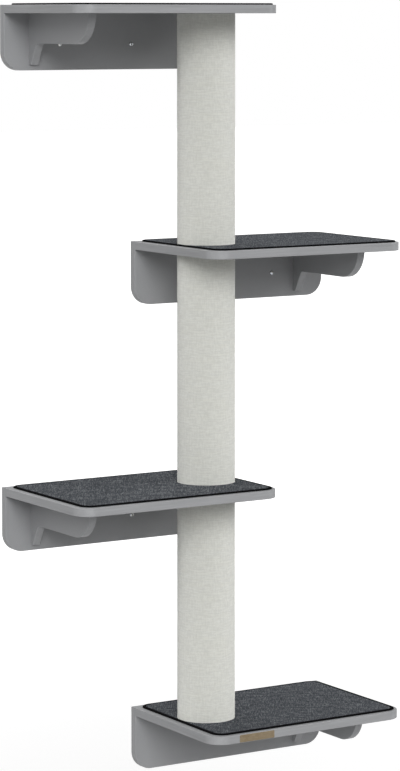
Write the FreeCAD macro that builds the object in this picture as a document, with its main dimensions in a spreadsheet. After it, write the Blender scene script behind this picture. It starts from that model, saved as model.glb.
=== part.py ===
import FreeCAD
import Part
import os
import re
import Sketcher

# A cat tree of four shelves that are screwed to a wall, staggered left and right, with a sisal
# covered post standing between each shelf and the next.
#
# X runs along the wall, with the posts' common axis at X = 0. Y = 0 is the face of the wall and
# the tree stands out towards -Y. Z = 0 is the height of the lowest wall plate's screws.
# Shelves, posts and all that belongs to them are numbered from the bottom up.

SHELVES = (1, 2, 3, 4)
POSTS = (1, 2, 3)
NEAR = 1e-4

DIMENSIONS = (
    ("shelf_width", 495, "length of a shelf along the wall"),
    ("shelf_reach", 346, "face of the wall to a shelf's front edge"),
    ("board_thickness", 18, "shelves, wall plates and brackets"),
    ("shelf_corner", 40, "radius of a shelf's two front corners"),
    ("edge_round", 1, "small round along the boards' visible edges"),
    ("plate_height", 140, "wall plate, from the shelf's top down"),
    ("plate_corner", 40, "radius of a wall plate's two lower corners"),
    ("wall_hole_drop", 85, "shelf's top down to the wall screw holes"),
    ("wall_hole_inset", 136, "shelf's far end to the nearer wall screw hole"),
    ("wall_hole_spacing", 178, "one wall screw hole to the other"),
    ("wall_hole_bore", 7, "diameter of a wall screw hole"),
    ("post_length", 500, "shelf's top to the next shelf's underside"),
    ("post_inset", 86, "shelf's near end to the post's axis"),
    ("post_reach", 175, "face of the wall to the post's axis"),
    ("tube_outer", 120, "outer diameter of the cardboard tube"),
    ("tube_wall", 8, "wall of the cardboard tube"),
    ("sisal_thickness", 3, "woven sisal round the tube"),
    ("disc_thickness", 18, "wooden disc in each end of a tube"),
    ("insert_outer", 12, "outer diameter of a threaded insert"),
    ("insert_length", 13, "length of a threaded insert"),
    ("bolt_bore", 8, "diameter of the studs and bolts in the posts"),
    ("bolt_grip", 12, "length of a stud or bolt inside an insert"),
    ("bolt_room", 0.5, "gap all round a stud or bolt in a shelf"),
    ("top_head", 15, "diameter of the top bolt's countersunk head"),
    ("bottom_head", 14, "diameter of the bottom bolt's round head"),
    ("bottom_head_height", 4.4, "height of the bottom bolt's head"),
    ("washer_outer", 24, "diameter of the washer under the bottom shelf"),
    ("washer_thickness", 2, "washer under the bottom shelf"),
    ("bolt_socket", 5, "hexagon socket of a bolt, across its flats"),
    ("bolt_socket_depth", 2.6, "depth of a bolt's socket"),
    ("bracket_inset", 60, "shelf's far end to the bracket's outer face"),
    ("bracket_setback", 71, "shelf's front edge back to the bracket's nose"),
    ("bracket_arm", 64.5, "height of the bracket's arm"),
    ("bracket_nose_land", 2, "upright stretch above the nose's round"),
    ("bracket_throat", 33, "wall plate to the leg's meeting with the arm"),
    ("bracket_throat_round", 12, "radius between the leg and the arm"),
    ("bracket_foot", 9, "thickness of the leg at its lower end"),
    ("bracket_foot_margin", 12, "leg's lower end up from the plate's lower edge"),
    ("mat_thickness", 3, "mat on a shelf"),
    ("mat_left_inset", 14, "shelf's left end to the edging"),
    ("mat_right_inset", 7, "shelf's right end to the edging"),
    ("mat_front_inset", 10, "shelf's front edge to the edging"),
    ("mat_back_inset", 5, "face of the wall to the edging"),
    ("mat_corner", 28, "outer radius of the edging's four corners"),
    ("edging_width", 4, "bound edge of a mat"),
    ("edging_proud", 0.4, "height of the bound edge above the mat"),
    ("mat_post_gap", 1, "gap between a post and the mat round it"),
    ("screw_length", 50, "every wood screw"),
    ("screw_shank", 6, "shank of a wood screw"),
    ("screw_head", 10, "countersunk head of a wood screw"),
    ("screw_socket", 4, "hexagon socket of a wood screw, across its flats"),
    ("screw_socket_depth", 2, "depth of a wood screw's socket"),
    ("head_recess", 0.3, "countersunk heads below the board's face"),
    ("screw_end_inset", 40, "shelf's ends to its outer screws"),
    ("screw_tip_room", 2, "empty hole past a screw's or a dowel's end"),
    ("dowel_diameter", 8, "dowels between a wall plate and its shelf"),
    ("dowel_length", 30, "length of a dowel"),
    ("dowel_in_plate", 10, "depth of a dowel's hole in the wall plate"),
    ("bracket_upper_screw", 16, "arm's top down to the upper screw in its back"),
    ("bracket_lower_screw", 50, "arm's top down to the lower screw in its back"),
    ("bracket_back_pin", 45, "wall plate to the rear screw down into the arm"),
    ("bracket_front_pin", 75, "bracket's nose back to the front screw down into it"),
    ("fit_gap", 0.1, "gap all round a screw, dowel, disc or insert in its hole"),
    ("thread_gap", 0.05, "gap all round a stud or bolt in an insert"),
    ("edge_plate_inset", 64, "bottom shelf's near end to the plate on its edge"),
    ("edge_plate_width", 88, "bare plate on the bottom shelf's front edge"),
    ("edge_plate_height", 16, "bare plate, upright"),
    ("edge_plate_thickness", 0.8, "bare plate"),
    ("edge_plate_corner", 2, "radius of the bare plate's corners"),
)
ALIASES = {alias for alias, _, _ in DIMENSIONS}

document = FreeCAD.newDocument("WallCatTree")
sizes = document.addObject("Spreadsheet::Sheet", "Sizes")
for row, (alias, value, meaning) in enumerate(DIMENSIONS, start=1):
    sizes.set(f"A{row}", meaning)
    sizes.set(f"B{row}", str(value))
    sizes.setAlias(f"B{row}", alias)
document.recompute()


# ---- formulas: text that names the dimensions -------------------------------------------------

def formula(text):
    """The text with each dimension's name pointed at its cell in the sheet."""
    return re.sub(r"[a-z_]+", lambda word: cell(word.group()), str(text))


def cell(word):
    return f"Sizes.{word}" if word in ALIASES else word


def number(text):
    return float(sizes.evalExpression(formula(text)))


def bind(item, **properties):
    """Tie properties of an object to formulas."""
    for name, text in properties.items():
        item.setExpression(name, formula(text))


def place(item, x="0", y="0", z="0"):
    """Tie an object's position to formulas."""
    for axis, text in zip("xyz", (x, y, z)):
        item.setExpression(f"Placement.Base.{axis}", formula(text))


# ---- where things are -------------------------------------------------------------------------

def side(shelf):
    """+1 for a shelf that runs to the right of the posts, -1 for one that runs to the left."""
    return 1 if shelf % 2 else -1


def along(shelf, text):
    """X at a distance from the posts' axis towards the shelf's far end."""
    return f"{side(shelf)} * ({text})"


def shelf_top(shelf):
    return f"wall_hole_drop + {shelf - 1} * (post_length + board_thickness)"


FAR_END = "shelf_width - post_inset"
NEAR_END = "-post_inset"
BRACKET_MIDDLE = f"{FAR_END} - bracket_inset - board_thickness / 2"
MID_BOARD = "-board_thickness / 2"
SHELF_SCREWS = (
    f"{FAR_END} - screw_end_inset",
    "shelf_width / 2 - post_inset",
    f"{NEAR_END} + screw_end_inset",
)
SHELF_DOWELS = (
    "3 * shelf_width / 4 - post_inset - screw_end_inset / 2",
    "shelf_width / 4 - post_inset + screw_end_inset / 2",
)
BRACKET_BACK_SCREWS = (
    "-board_thickness - bracket_upper_screw",
    "-board_thickness - bracket_lower_screw",
)
BRACKET_TOP_SCREWS = (
    "-board_thickness - bracket_back_pin",
    "-shelf_reach + bracket_setback + bracket_front_pin",
)
SCREW_HOLE = "screw_shank + 2 * fit_gap"
SCREW_DEPTH = "screw_length + head_recess + screw_tip_room - board_thickness"
HEAD_HOLE = "2 * (head_recess + fit_gap)"


# ---- sketches and features --------------------------------------------------------------------

def new_body(label):
    body = document.addObject("PartDesign::Body", label)
    body.Label = label
    return body


def new_sketch(body, role, offset=None):
    """Sketch on one of the body's own planes, moved along the plane's normal by a formula."""
    sketch = body.newObject("Sketcher::SketchObject", "Sketch")
    plane = next(item for item in body.Origin.OriginFeatures if item.Role == role)
    sketch.AttachmentSupport = (plane, [""])
    sketch.MapMode = "FlatFace"
    if offset:
        sketch.setExpression("AttachmentOffset.Base.z", formula(offset))
    return sketch


def pin(sketch, geometry, point, x, y):
    """Hold a point of a sketch at x, y from the sketch's origin."""
    for kind, axis, text in (("DistanceX", -2, x), ("DistanceY", -1, y)):
        if text == "0":
            sketch.addConstraint(Sketcher.Constraint("PointOnObject", geometry, point, axis))
            continue
        rule = Sketcher.Constraint(kind, -1, 1, geometry, point, number(text))
        index = sketch.addConstraint(rule)
        sketch.setExpression(f"Constraints[{index}]", formula(text))


def draw_outline(sketch, corners):
    """Closed outline of straight sides through corners, which are pairs of formulas."""
    points = [FreeCAD.Vector(number(x), number(y)) for x, y in corners]
    count = len(points)
    first = sketch.GeometryCount
    for index, point in enumerate(points):
        sketch.addGeometry(Part.LineSegment(point, points[(index + 1) % count]))
    for index in range(count):
        following = first + (index + 1) % count
        sketch.addConstraint(Sketcher.Constraint("Coincident", first + index, 2, following, 1))
    for index, (x, y) in enumerate(corners):
        pin(sketch, first + index, 1, x, y)


def draw_box(sketch, left, right, low, high):
    draw_outline(sketch, ((left, low), (right, low), (right, high), (left, high)))


def draw_circle(sketch, diameter, x="0", y="0"):
    centre = FreeCAD.Vector(number(x), number(y))
    circle = Part.Circle(centre, FreeCAD.Vector(0, 0, 1), number(diameter) / 2)
    index = sketch.addGeometry(circle)
    pin(sketch, index, 3, x, y)
    rule = sketch.addConstraint(Sketcher.Constraint("Diameter", index, number(diameter)))
    sketch.setExpression(f"Constraints[{rule}]", formula(diameter))


def draw_hexagon(sketch, across_flats):
    """Regular hexagon round the sketch's origin, inside a guide circle through its corners."""
    across_corners = f"{across_flats} / cos(30deg)"
    radius = number(across_flats) / 3 ** 0.5
    corners = [FreeCAD.Vector(radius, 0)]
    turn = FreeCAD.Rotation(FreeCAD.Vector(0, 0, 1), 60)
    for _ in range(5):
        corners.append(turn.multVec(corners[-1]))
    for index in range(6):
        sketch.addGeometry(Part.LineSegment(corners[index], corners[(index + 1) % 6]))
    guide = sketch.addGeometry(
        Part.Circle(FreeCAD.Vector(0, 0), FreeCAD.Vector(0, 0, 1), radius), True
    )
    sketch.addConstraint(Sketcher.Constraint("Coincident", guide, 3, -1, 1))
    rule = sketch.addConstraint(Sketcher.Constraint("Diameter", guide, 2 * radius))
    sketch.setExpression(f"Constraints[{rule}]", formula(across_corners))
    for index in range(6):
        following = (index + 1) % 6
        sketch.addConstraint(Sketcher.Constraint("Coincident", index, 2, following, 1))
        sketch.addConstraint(Sketcher.Constraint("PointOnObject", index, 1, guide))
    for index in range(1, 6):
        sketch.addConstraint(Sketcher.Constraint("Equal", 0, index))
    sketch.addConstraint(Sketcher.Constraint("PointOnObject", 0, 1, -1))


def pad(body, sketch, length, reverse=False, both_ways=False):
    feature = body.newObject("PartDesign::Pad", "Pad")
    feature.Profile = sketch
    feature.Reversed = reverse
    if both_ways:
        feature.SideType = "Symmetric"
    bind(feature, Length=length)
    document.recompute()
    return feature


def pocket(body, sketch, depth=None, reverse=False):
    """Cut a sketch into the body, to a depth or right through."""
    feature = body.newObject("PartDesign::Pocket", "Pocket")
    feature.Profile = sketch
    feature.Reversed = reverse
    if depth:
        bind(feature, Length=depth)
    else:
        feature.Type = "ThroughAll"
    document.recompute()
    return feature


def countersink(body, sketch, bore, head, reverse=False):
    """Through hole with a 90 degree seat for a countersunk head at the sketch's face."""
    document.recompute()
    feature = body.newObject("PartDesign::Hole", "Hole")
    feature.Profile = sketch
    feature.DepthType = "ThroughAll"
    feature.Reversed = reverse
    feature.HoleCutType = "Countersink"
    feature.HoleCutCustomValues = True
    feature.HoleCutCountersinkAngle = 90
    bind(feature, Diameter=bore, HoleCutDiameter=head)
    document.recompute()
    return feature


def round_edges(body, feature, names, radius):
    fillet = body.newObject("PartDesign::Fillet", "Round")
    fillet.Base = (feature, names)
    bind(fillet, Radius=radius)
    document.recompute()
    return fillet


def edges_at(feature, **spot):
    """Names of the straight edges whose two ends both lie at the given coordinates."""
    names = []
    for index, edge in enumerate(feature.Shape.Edges, start=1):
        ends = [vertex.Point for vertex in edge.Vertexes]
        if all(abs(getattr(end, axis) - at) < NEAR for end in ends for axis, at in spot.items()):
            names.append(f"Edge{index}")
    return names


def rim_edges(feature, axis, levels, back):
    """Names of the edges that lie in either plane of axis, apart from those at Y = back."""
    names = []
    for index, edge in enumerate(feature.Shape.Edges, start=1):
        box = edge.BoundBox
        low = getattr(box, f"{axis}Min")
        high = getattr(box, f"{axis}Max")
        in_plane = any(abs(low - at) < NEAR and abs(high - at) < NEAR for at in levels)
        at_back = abs(box.YMin - back) < NEAR and abs(box.YMax - back) < NEAR
        if in_plane and not at_back:
            names.append(f"Edge{index}")
    return names


# ---- boards -----------------------------------------------------------------------------------

def shelf_board(shelf):
    """Shelf with two rounded front corners. Its own Z = 0 is its top face."""
    body = new_body(f"shelf_board_{shelf}")
    near = along(shelf, NEAR_END)
    far = along(shelf, FAR_END)
    sketch = new_sketch(body, "XY_Plane")
    draw_box(sketch, near, far, "-shelf_reach", "-board_thickness")
    slab = pad(body, sketch, "board_thickness", reverse=True)
    front = -number("shelf_reach")
    corners = edges_at(slab, x=number(near), y=front) + edges_at(slab, x=number(far), y=front)
    shaped = round_edges(body, slab, corners, "shelf_corner")
    thickness = number("board_thickness")
    rims = rim_edges(shaped, "Z", (0, -thickness), -thickness)
    round_edges(body, shaped, rims, "edge_round")

    for y in BRACKET_TOP_SCREWS:
        sketch = new_sketch(body, "XY_Plane")
        draw_circle(sketch, SCREW_HOLE, along(shelf, BRACKET_MIDDLE), y)
        countersink(body, sketch, SCREW_HOLE, f"screw_head + {HEAD_HOLE}")

    for places, bore, depth in (
        (SHELF_SCREWS, SCREW_HOLE, SCREW_DEPTH),
        (SHELF_DOWELS, "dowel_diameter + 2 * fit_gap", "dowel_length - dowel_in_plate + screw_tip_room"),
    ):
        sketch = new_sketch(body, "XZ_Plane", offset="board_thickness")
        for x in places:
            draw_circle(sketch, bore, along(shelf, x), MID_BOARD)
        pocket(body, sketch, depth, reverse=True)

    sketch = new_sketch(body, "XY_Plane")
    bore = "bolt_bore + 2 * bolt_room"
    draw_circle(sketch, bore, "0", "-post_reach")
    if shelf == SHELVES[-1]:
        countersink(body, sketch, bore, f"top_head + {HEAD_HOLE}")
    else:
        pocket(body, sketch)
    place(body, z=shelf_top(shelf))
    return body


def wall_plate(shelf):
    """Board against the wall behind a shelf, with its top level with the shelf's."""
    body = new_body(f"wall_plate_{shelf}")
    near = along(shelf, NEAR_END)
    far = along(shelf, FAR_END)
    sketch = new_sketch(body, "XZ_Plane")
    draw_box(sketch, near, far, "-plate_height", "0")
    slab = pad(body, sketch, "board_thickness")
    low = -number("plate_height")
    corners = edges_at(slab, x=number(near), z=low) + edges_at(slab, x=number(far), z=low)
    shaped = round_edges(body, slab, corners, "plate_corner")
    thickness = number("board_thickness")
    rims = rim_edges(shaped, "Y", (-thickness,), 0)
    rims = [name for name in rims if name not in edges_at(shaped, z=0)]
    round_edges(body, shaped, rims, "edge_round")

    sketch = new_sketch(body, "XZ_Plane")
    for inset in ("wall_hole_inset", "wall_hole_inset + wall_hole_spacing"):
        x = along(shelf, f"{FAR_END} - ({inset})")
        draw_circle(sketch, "wall_hole_bore", x, "-wall_hole_drop")
    pocket(body, sketch, reverse=True)

    sketch = new_sketch(body, "XZ_Plane")
    for x in SHELF_SCREWS:
        draw_circle(sketch, SCREW_HOLE, along(shelf, x), MID_BOARD)
    for z in BRACKET_BACK_SCREWS:
        draw_circle(sketch, SCREW_HOLE, along(shelf, BRACKET_MIDDLE), z)
    countersink(body, sketch, SCREW_HOLE, f"screw_head + {HEAD_HOLE}", reverse=True)

    sketch = new_sketch(body, "XZ_Plane", offset="board_thickness")
    for x in SHELF_DOWELS:
        draw_circle(sketch, "dowel_diameter + 2 * fit_gap", along(shelf, x), MID_BOARD)
    pocket(body, sketch, "dowel_in_plate")
    place(body, z=shelf_top(shelf))
    return body


def bracket(shelf):
    """Board on edge under a shelf: a leg down the wall plate and an arm with a round nose."""
    body = new_body(f"bracket_{shelf}")
    back = "-board_thickness"
    front = "-shelf_reach + bracket_setback"
    arm_low = "-board_thickness - bracket_arm"
    leg_low = "-plate_height + bracket_foot_margin"
    throat = "-board_thickness - bracket_throat"
    sketch = new_sketch(body, "YZ_Plane")
    draw_outline(
        sketch,
        (
            (back, "-board_thickness"),
            (front, "-board_thickness"),
            (front, arm_low),
            (throat, arm_low),
            ("-board_thickness - bracket_foot", leg_low),
            (back, leg_low),
        ),
    )
    slab = pad(body, sketch, "board_thickness", both_ways=True)
    nose = edges_at(slab, y=number(front), z=number(arm_low))
    nosed = round_edges(body, slab, nose, "bracket_arm - bracket_nose_land")
    hollow = edges_at(nosed, y=number(throat), z=number(arm_low))
    shaped = round_edges(body, nosed, hollow, "bracket_throat_round")
    half = number("board_thickness") / 2
    rims = rim_edges(shaped, "X", (-half, half), number(back))
    rims = [name for name in rims if name not in edges_at(shaped, z=number("-board_thickness"))]
    round_edges(body, shaped, rims, "edge_round")

    sketch = new_sketch(body, "XZ_Plane", offset="board_thickness")
    for z in BRACKET_BACK_SCREWS:
        draw_circle(sketch, SCREW_HOLE, "0", z)
    pocket(body, sketch, SCREW_DEPTH, reverse=True)
    sketch = new_sketch(body, "XY_Plane", offset="-board_thickness")
    for y in BRACKET_TOP_SCREWS:
        draw_circle(sketch, SCREW_HOLE, "0", y)
    pocket(body, sketch, SCREW_DEPTH)
    place(body, x=along(shelf, BRACKET_MIDDLE), z=shelf_top(shelf))
    return body


def edge_plate():
    """Thin bare plate on the bottom shelf's front edge."""
    body = new_body("edge_plate")
    left = f"{NEAR_END} + edge_plate_inset"
    right = f"{left} + edge_plate_width"
    low = "-board_thickness / 2 - edge_plate_height / 2"
    high = "-board_thickness / 2 + edge_plate_height / 2"
    sketch = new_sketch(body, "XZ_Plane", offset="shelf_reach")
    draw_box(sketch, left, right, low, high)
    slab = pad(body, sketch, "edge_plate_thickness")
    corners = [
        name
        for x in (left, right)
        for z in (low, high)
        for name in edges_at(slab, x=number(x), z=number(z))
    ]
    round_edges(body, slab, corners, "edge_plate_corner")
    place(body, z=shelf_top(SHELVES[0]))
    return body


# ---- mats -------------------------------------------------------------------------------------

def draw_mat_box(sketch, shelf, inwards):
    """A mat's outline, moved inwards from the outside of its edging by a formula."""
    ends = sorted((along(shelf, NEAR_END), along(shelf, FAR_END)), key=number)
    left = f"{ends[0]} + mat_left_inset + {inwards}"
    right = f"{ends[1]} - mat_right_inset - {inwards}"
    front = f"-shelf_reach + mat_front_inset + {inwards}"
    back = f"-mat_back_inset - {inwards}"
    draw_box(sketch, left, right, front, back)
    return [(number(x), number(y)) for x in (left, right) for y in (front, back)]


def corner_edges(feature, corners):
    return [name for x, y in corners for name in edges_at(feature, x=x, y=y)]


def mat(shelf):
    """Flat mat inside its edging, cut out round the post that stands on the shelf."""
    body = new_body(f"mat_{shelf}")
    sketch = new_sketch(body, "XY_Plane")
    corners = draw_mat_box(sketch, shelf, "edging_width")
    slab = pad(body, sketch, "mat_thickness")
    round_edges(body, slab, corner_edges(slab, corners), "mat_corner - edging_width")
    if shelf != SHELVES[-1]:
        sketch = new_sketch(body, "XY_Plane")
        draw_circle(sketch, "tube_outer + 2 * (sisal_thickness + mat_post_gap)", "0", "-post_reach")
        pocket(body, sketch, reverse=True)
    place(body, z=shelf_top(shelf))
    return body


def mat_edging(shelf):
    """Bound edge that runs all round a mat."""
    body = new_body(f"mat_edging_{shelf}")
    sketch = new_sketch(body, "XY_Plane")
    outside = draw_mat_box(sketch, shelf, "0")
    inside = draw_mat_box(sketch, shelf, "edging_width")
    frame = pad(body, sketch, "mat_thickness + edging_proud")
    rounded = round_edges(body, frame, corner_edges(frame, outside), "mat_corner")
    inner = corner_edges(rounded, inside)
    round_edges(body, rounded, inner, "mat_corner - edging_width")
    place(body, z=shelf_top(shelf))
    return body


# ---- posts ------------------------------------------------------------------------------------

def ring(label, outer, inner, length):
    """Upright round piece with a bore. Its own Z = 0 is its lower face."""
    body = new_body(label)
    sketch = new_sketch(body, "XY_Plane")
    draw_circle(sketch, outer)
    draw_circle(sketch, inner)
    pad(body, sketch, length)
    return body


def post(level):
    """Cardboard tube in a sisal sleeve, with a wooden disc in each end."""
    tube = ring(f"post_tube_{level}", "tube_outer", "tube_outer - 2 * tube_wall", "post_length")
    sleeve_outer = "tube_outer + 2 * sisal_thickness"
    sleeve = ring(f"sisal_sleeve_{level}", sleeve_outer, "tube_outer", "post_length")
    disc_outer = "tube_outer - 2 * (tube_wall + fit_gap)"
    disc_bore = "insert_outer + 2 * fit_gap"
    low_disc = ring(f"post_bottom_disc_{level}", disc_outer, disc_bore, "disc_thickness")
    high_disc = ring(f"post_top_disc_{level}", disc_outer, disc_bore, "disc_thickness")
    foot = shelf_top(level)
    for piece in (tube, sleeve, low_disc):
        place(piece, y="-post_reach", z=foot)
    place(high_disc, y="-post_reach", z=f"{foot} + post_length - disc_thickness")
    return [tube, sleeve, low_disc, high_disc]


# ---- fasteners --------------------------------------------------------------------------------

def turned(label, profile):
    """Piece turned about its own Z, from pairs of formulas for radius and height."""
    body = new_body(label)
    sketch = new_sketch(body, "XZ_Plane")
    draw_outline(sketch, profile)
    feature = body.newObject("PartDesign::Revolution", "Turned")
    feature.Profile = sketch
    feature.ReferenceAxis = (sketch, ["V_Axis"])
    feature.Angle = 360
    document.recompute()
    return body


def cut_socket(body, width, depth):
    """Hexagon socket in the top of a screw's or bolt's head."""
    sketch = new_sketch(body, "XY_Plane")
    draw_hexagon(sketch, width)
    pocket(body, sketch, depth)


def countersunk_screw(label, head, shank, length, socket, socket_depth):
    """Screw with its flat head at its own Z = 0 and its shank down -Z."""
    profile = (
        ("0", "0"),
        (f"({head}) / 2", "0"),
        (f"({shank}) / 2", f"-(({head}) - ({shank})) / 2"),
        (f"({shank}) / 2", f"-({length})"),
        ("0", f"-({length})"),
    )
    body = turned(label, profile)
    cut_socket(body, socket, socket_depth)
    return body


def copies(label, master, spots, axis=(0, 0, 1), angle=0):
    """Group of separate copies of one fastener, turned about an axis and set at each spot."""
    links = []
    for x, y, z in spots:
        link = document.addObject("App::Link", f"{label}_copy")
        link.LinkedObject = master
        link.Placement.Rotation = FreeCAD.Rotation(FreeCAD.Vector(*axis), angle)
        place(link, x, y, z)
        links.append(link)
    group = document.addObject("Part::Compound", label)
    group.Links = links
    group.Label = label
    return group


def wood_screws():
    """Screws through the wall plates' backs and down through the shelves."""
    screw = countersunk_screw(
        "wood_screw", "screw_head", "screw_shank", "screw_length", "screw_socket", "screw_socket_depth"
    )
    into_shelves = [
        (along(shelf, x), "-head_recess", f"{shelf_top(shelf)} - board_thickness / 2")
        for shelf in SHELVES
        for x in SHELF_SCREWS
    ]
    into_legs = [
        (along(shelf, BRACKET_MIDDLE), "-head_recess", f"{shelf_top(shelf)} + ({z})")
        for shelf in SHELVES
        for z in BRACKET_BACK_SCREWS
    ]
    into_arms = [
        (along(shelf, BRACKET_MIDDLE), y, f"{shelf_top(shelf)} - head_recess")
        for shelf in SHELVES
        for y in BRACKET_TOP_SCREWS
    ]
    from_the_wall = {"axis": (1, 0, 0), "angle": -90}
    return [
        copies("shelf_screws", screw, into_shelves, **from_the_wall),
        copies("bracket_back_screws", screw, into_legs, **from_the_wall),
        copies("bracket_top_screws", screw, into_arms),
    ]


def dowels():
    """Wooden dowels, half hidden in the wall plates and half in the shelves' back edges."""
    profile = (
        ("0", "0"),
        ("dowel_diameter / 2", "0"),
        ("dowel_diameter / 2", "-dowel_length"),
        ("0", "-dowel_length"),
    )
    dowel = turned("dowel", profile)
    spots = [
        (
            along(shelf, x),
            "-board_thickness + dowel_in_plate",
            f"{shelf_top(shelf)} - board_thickness / 2",
        )
        for shelf in SHELVES
        for x in SHELF_DOWELS
    ]
    return [copies("shelf_dowels", dowel, spots, axis=(1, 0, 0), angle=-90)]


def post_fasteners():
    """What pulls the posts and the shelves together along the posts' axis."""
    insert = ring("insert", "insert_outer", "bolt_bore + 2 * thread_gap", "insert_length")
    insert_spots = []
    for level in POSTS:
        foot = shelf_top(level)
        insert_spots.append(("0", "-post_reach", foot))
        insert_spots.append(("0", "-post_reach", f"{foot} + post_length - insert_length"))
    inserts = copies("threaded_inserts", insert, insert_spots)

    half = "(board_thickness / 2 + bolt_grip)"
    profile = (
        ("0", half),
        ("bolt_bore / 2", half),
        ("bolt_bore / 2", f"-{half}"),
        ("0", f"-{half}"),
    )
    stud = turned("stud", profile)
    stud_spots = [
        ("0", "-post_reach", f"{shelf_top(shelf)} - board_thickness / 2") for shelf in SHELVES[1:-1]
    ]
    studs = copies("joining_studs", stud, stud_spots)

    top_bolt = countersunk_screw(
        "top_bolt",
        "top_head",
        "bolt_bore",
        "board_thickness + bolt_grip - head_recess",
        "bolt_socket",
        "bolt_socket_depth",
    )
    place(top_bolt, y="-post_reach", z=f"{shelf_top(SHELVES[-1])} - head_recess")

    bottom = f"{shelf_top(SHELVES[0])} - board_thickness - washer_thickness"
    washer = ring("bottom_washer", "washer_outer", "bolt_bore + 2 * bolt_room", "washer_thickness")
    place(washer, y="-post_reach", z=bottom)
    reach_down = "(bottom_head_height + washer_thickness + board_thickness + bolt_grip)"
    profile = (
        ("0", "0"),
        ("bottom_head / 2", "0"),
        ("bottom_head / 2", "-bottom_head_height"),
        ("bolt_bore / 2", "-bottom_head_height"),
        ("bolt_bore / 2", f"-{reach_down}"),
        ("0", f"-{reach_down}"),
    )
    bottom_bolt = turned("bottom_bolt", profile)
    cut_socket(bottom_bolt, "bolt_socket", "bolt_socket_depth")
    bottom_bolt.Placement.Rotation = FreeCAD.Rotation(FreeCAD.Vector(1, 0, 0), 180)
    place(bottom_bolt, y="-post_reach", z=f"{bottom} - bottom_head_height")
    return [inserts, studs, top_bolt, washer, bottom_bolt]


# ---- the whole tree ---------------------------------------------------------------------------

def check(parts):
    """Stop if anything in the document failed, or a piece has no sound solid."""
    document.recompute()
    for item in document.Objects:
        if "Invalid" in item.State or "Error" in item.State:
            raise RuntimeError(f"{item.Label} did not compute: {item.State}")
    for item in parts:
        if item.Shape.isNull() or not item.Shape.isValid() or not item.Shape.Solids:
            raise RuntimeError(f"{item.Label} has no sound solid")


def main():
    parts = []
    for shelf in SHELVES:
        parts += [shelf_board(shelf), wall_plate(shelf), bracket(shelf), mat(shelf), mat_edging(shelf)]
    for level in POSTS:
        parts += post(level)
    parts += wood_screws() + dowels() + post_fasteners()
    parts.append(edge_plate())
    check(parts)
    os.makedirs("parts", exist_ok=True)
    for item in parts:
        item.Shape.exportStep(f"parts/{item.Label}.step")
        box = item.Shape.optimalBoundingBox()
        print(
            f"{item.Label}: {len(item.Shape.Solids)} solid(s), {item.Shape.Volume / 1000:.1f} cm3, "
            f"x {box.XMin:.1f}..{box.XMax:.1f}, y {box.YMin:.1f}..{box.YMax:.1f}, "
            f"z {box.ZMin:.1f}..{box.ZMax:.1f}"
        )


main()
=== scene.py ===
"""Looks of a wall mounted cat tree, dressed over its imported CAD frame."""

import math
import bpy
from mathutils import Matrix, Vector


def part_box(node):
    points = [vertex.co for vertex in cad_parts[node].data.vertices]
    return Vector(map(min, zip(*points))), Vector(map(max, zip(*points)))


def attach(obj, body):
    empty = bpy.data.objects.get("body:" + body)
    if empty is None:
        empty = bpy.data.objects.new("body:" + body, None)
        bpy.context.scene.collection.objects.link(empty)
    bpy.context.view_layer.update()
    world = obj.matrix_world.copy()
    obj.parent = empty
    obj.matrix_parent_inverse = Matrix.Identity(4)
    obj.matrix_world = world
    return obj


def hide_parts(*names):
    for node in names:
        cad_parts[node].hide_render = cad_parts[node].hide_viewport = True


bl_info = {
    "name": "Wall mounted cat tree",
    "version": (1, 0, 0),
    "blender": (4, 5, 0),
    "location": "3D View > Sidebar > Cat tree",
    "description": "Boards, felt mats, sisal posts, fasteners and studio of a wall mounted cat tree",
    "category": "Object",
}

import bmesh
import bpy
from bpy.props import FloatProperty, FloatVectorProperty, IntProperty, PointerProperty
from mathutils import Matrix, Vector, noise

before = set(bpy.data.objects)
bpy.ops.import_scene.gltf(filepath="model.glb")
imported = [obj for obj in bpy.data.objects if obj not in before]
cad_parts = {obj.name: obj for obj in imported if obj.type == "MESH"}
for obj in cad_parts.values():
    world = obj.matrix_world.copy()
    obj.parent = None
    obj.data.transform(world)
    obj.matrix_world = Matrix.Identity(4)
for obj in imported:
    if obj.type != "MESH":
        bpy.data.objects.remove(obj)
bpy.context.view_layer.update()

SHELVES = (1, 2, 3, 4)
POSTS = (1, 2, 3)

# Places, in metres: the posts' upright axis, the rise from shelf to shelf, the wall holes from it.
POST_AXIS = (0.0, -0.175)
SHELF_PITCH = 0.518
WALL_HOLES = (0.095, 0.273)

# Radii, in metres: corners of the felt and of its binding, hole round a post, felt's top rim,
# and the inner face of the sisal.
MAT_CORNER = 0.024
EDGING_CORNER = 0.028
MAT_HOLE = 0.064
MAT_RIM = 0.0011
TUBE_FACE = 0.06005

# Length of one loop of the sisal's weft, and the distance under which two points are one.
WEFT_FLOAT = 0.0042
SAME_PLACE = 1e-6

# Binding round a mat's rim: share of its width in from the outside, and share of its height.
BINDING_SECTION = (
    (0.0, 0.36), (0.05, 0.1), (0.16, 0.0), (0.58, 0.0), (0.7, 0.6), (1.0, 0.66),
    (0.97, 0.86), (0.79, 0.97), (0.54, 1.0), (0.3, 0.95), (0.11, 0.8), (0.02, 0.6),
)


def paint(red, green, blue):
    """Linear colour of a paint chip given as 0 to 255 on screen."""
    return tuple(
        c / 12.92 if c <= 0.04045 else ((c + 0.055) / 1.055) ** 2.4
        for c in (red / 255, green / 255, blue / 255)
    )


def colour_property(label, text, chip):
    """A colour that the sidebar shows, given as a paint chip."""
    return FloatVectorProperty(
        name=label, description=text, subtype="COLOR", size=3, min=0, max=1, default=paint(*chip)
    )


def length_property(label, text, metres):
    """A length that the sidebar shows, in metres."""
    return FloatProperty(name=label, description=text, default=metres, min=0, unit="LENGTH", precision=5)


def share_property(label, text, share):
    """A share from 0 to 1 that the sidebar shows."""
    return FloatProperty(name=label, description=text, default=share, min=0, max=1, subtype="FACTOR")


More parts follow.
